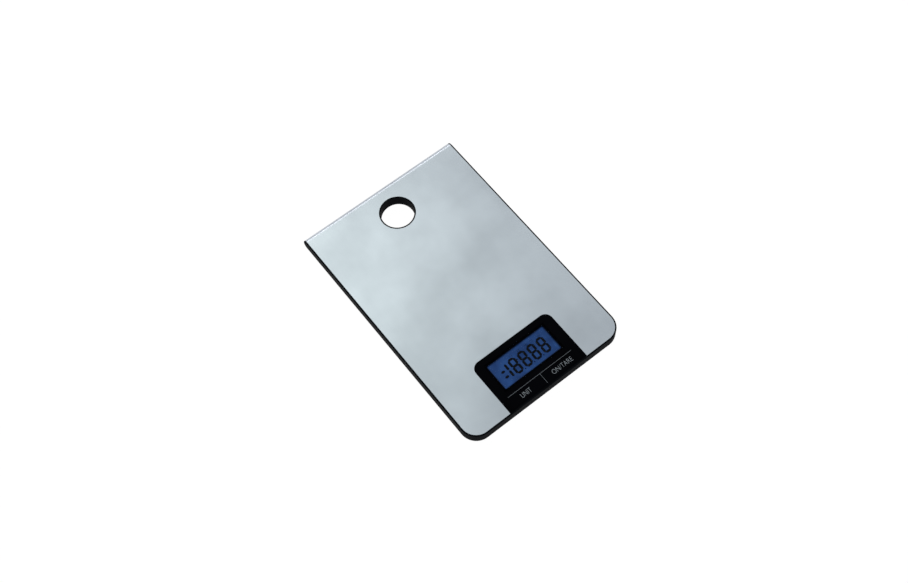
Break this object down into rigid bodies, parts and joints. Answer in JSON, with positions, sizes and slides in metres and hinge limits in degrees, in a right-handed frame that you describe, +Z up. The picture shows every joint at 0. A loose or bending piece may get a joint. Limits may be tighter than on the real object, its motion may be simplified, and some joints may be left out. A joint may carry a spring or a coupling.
{
  "type": "digital gram scale",
  "caption": "Slim free-standing digital scale with a brushed steel weighing plate, a hanging hole, a backlit display and two press keys.",
  "frame": {"origin": "centre of the body's outline, on the surface the feet stand on", "axes": "+Z up out of the weighing plate, +Y to the rear edge with the hanging hole, +X to the right seen from the keys"},
  "size_m": [0.15, 0.223, 0.0125],
  "materials": {
    "brushed_stainless": "satin, fine brushed",
    "black_abs": "fine moulded satin",
    "gloss_black": "polished",
    "clear_lens": "polished clear acrylic",
    "lcd_glass": "clear glass",
    "polarizer_film": "tinted film",
    "light_guide": "frosted acrylic, lit blue",
    "white_plastic": "moulded",
    "foam": "closed-cell foam",
    "tape": "double-sided tissue tape",
    "silicone": "contact rubber",
    "circuit_board": "solder mask",
    "black_resin": "epoxy",
    "chip_ceramic": "ceramic and plated ends",
    "solder": "tinned",
    "zinc_screw": "zinc plated",
    "cell_steel": "ground",
    "gauge_foil": "foil on amber film",
    "pad_rubber": "grey-black rubber",
    "coin_steel": "nickel-plated can",
    "spring_contact": "nickel-plated spring steel",
    "red_lead": "PVC insulation",
    "black_lead": "PVC insulation",
    "grey_lead": "PVC insulation",
    "label": "plain silver-grey film",
    "led": "clear resin"
  },
  "bodies": {
    "scale_body": {"backlight_leds": "led", "battery_contact_negative": "spring_contact", "battery_contact_positive": "spring_contact", "battery_lead_negative": "black_lead", "battery_lead_positive": "red_lead", "blank_label": "label", "board_parts": "chip_ceramic", "board_screws": "zinc_screw", "bottom_cover": "black_abs", "cell_screws": "zinc_screw", "coin_cell": "coin_steel", "controller_chip": "black_resin", "display_lens": "clear_lens", "housing_screws": "zinc_screw", "lcd_frame": "white_plastic", "lcd_front_glass": "lcd_glass", "lcd_front_polarizer": "polarizer_film", "lcd_gasket": "foam", "lcd_rear_glass": "lcd_glass", "lcd_rear_polarizer": "polarizer_film", "lead_terminals": "solder", "light_guide": "light_guide", "load_cell_front_left": "cell_steel", "load_cell_front_right": "cell_steel", "load_cell_rear_left": "cell_steel", "load_cell_rear_right": "cell_steel", "main_board": "circuit_board", "on_tare_switch": "black_abs", "platform_plate": "brushed_stainless", "platform_tape": "tape", "sensor_lead_front_left": "grey_lead", "sensor_lead_front_right": "grey_lead", "sensor_lead_rear_left": "grey_lead", "sensor_lead_rear_right": "grey_lead", "strain_gauges": "gauge_foil", "top_housing": "black_abs", "unit_switch": "black_abs", "window_panel": "gloss_black", "zebra_strip": "silicone"},
    "unit_key": {"unit_key": "gloss_black"},
    "on_tare_key": {"on_tare_key": "gloss_black"},
    "unit_switch_stem": {"unit_switch_stem": "white_plastic"},
    "on_tare_switch_stem": {"on_tare_switch_stem": "white_plastic"},
    "battery_door": {"battery_door": "black_abs"},
    "foot_front_left": {"foot_front_left": "black_abs", "foot_pad_front_left": "pad_rubber"},
    "foot_front_right": {"foot_front_right": "black_abs", "foot_pad_front_right": "pad_rubber"},
    "foot_rear_left": {"foot_rear_left": "black_abs", "foot_pad_rear_left": "pad_rubber"},
    "foot_rear_right": {"foot_rear_right": "black_abs", "foot_pad_rear_right": "pad_rubber"}
  },
  "joints": [
    {"name": "unit_key_press", "type": "slide", "parent": "scale_body", "child": "unit_key", "axis": [0, 0, 1], "range_m": [-0.0003, 0], "stiffness_N_per_m": 5000},
    {"name": "unit_switch_press", "type": "slide", "parent": "scale_body", "child": "unit_switch_stem", "axis": [0, 0, 1], "range_m": [-0.0003, 0], "stiffness_N_per_m": 2},
    {"name": "on_tare_key_press", "type": "slide", "parent": "scale_body", "child": "on_tare_key", "axis": [0, 0, 1], "range_m": [-0.0003, 0], "stiffness_N_per_m": 5000},
    {"name": "on_tare_switch_press", "type": "slide", "parent": "scale_body", "child": "on_tare_switch_stem", "axis": [0, 0, 1], "range_m": [-0.0003, 0], "stiffness_N_per_m": 2},
    {"name": "foot_front_left_load", "type": "slide", "parent": "scale_body", "child": "foot_front_left", "axis": [0, 0, 1], "range_m": [0, 0.0003], "stiffness_N_per_m": 20000, "deforming": ["load_cell_front_left"]},
    {"name": "foot_front_right_load", "type": "slide", "parent": "scale_body", "child": "foot_front_right", "axis": [0, 0, 1], "range_m": [0, 0.0003], "stiffness_N_per_m": 20000, "deforming": ["load_cell_front_right"]},
    {"name": "foot_rear_left_load", "type": "slide", "parent": "scale_body", "child": "foot_rear_left", "axis": [0, 0, 1], "range_m": [0, 0.0003], "stiffness_N_per_m": 20000, "deforming": ["load_cell_rear_left"]},
    {"name": "foot_rear_right_load", "type": "slide", "parent": "scale_body", "child": "foot_rear_right", "axis": [0, 0, 1], "range_m": [0, 0.0003], "stiffness_N_per_m": 20000, "deforming": ["load_cell_rear_right"]},
    {"name": "battery_door_hinge", "type": "hinge", "parent": "scale_body", "child": "battery_door", "pos_m": [0, -0.0067, 0.0032], "axis": [1, 0, 0], "range_deg": [0, 90]}
  ],
  "couplings": [
    {"joint": "unit_switch_press", "follows": "unit_key_press", "ratio": 1},
    {"joint": "on_tare_switch_press", "follows": "on_tare_key_press", "ratio": 1}
  ]
}
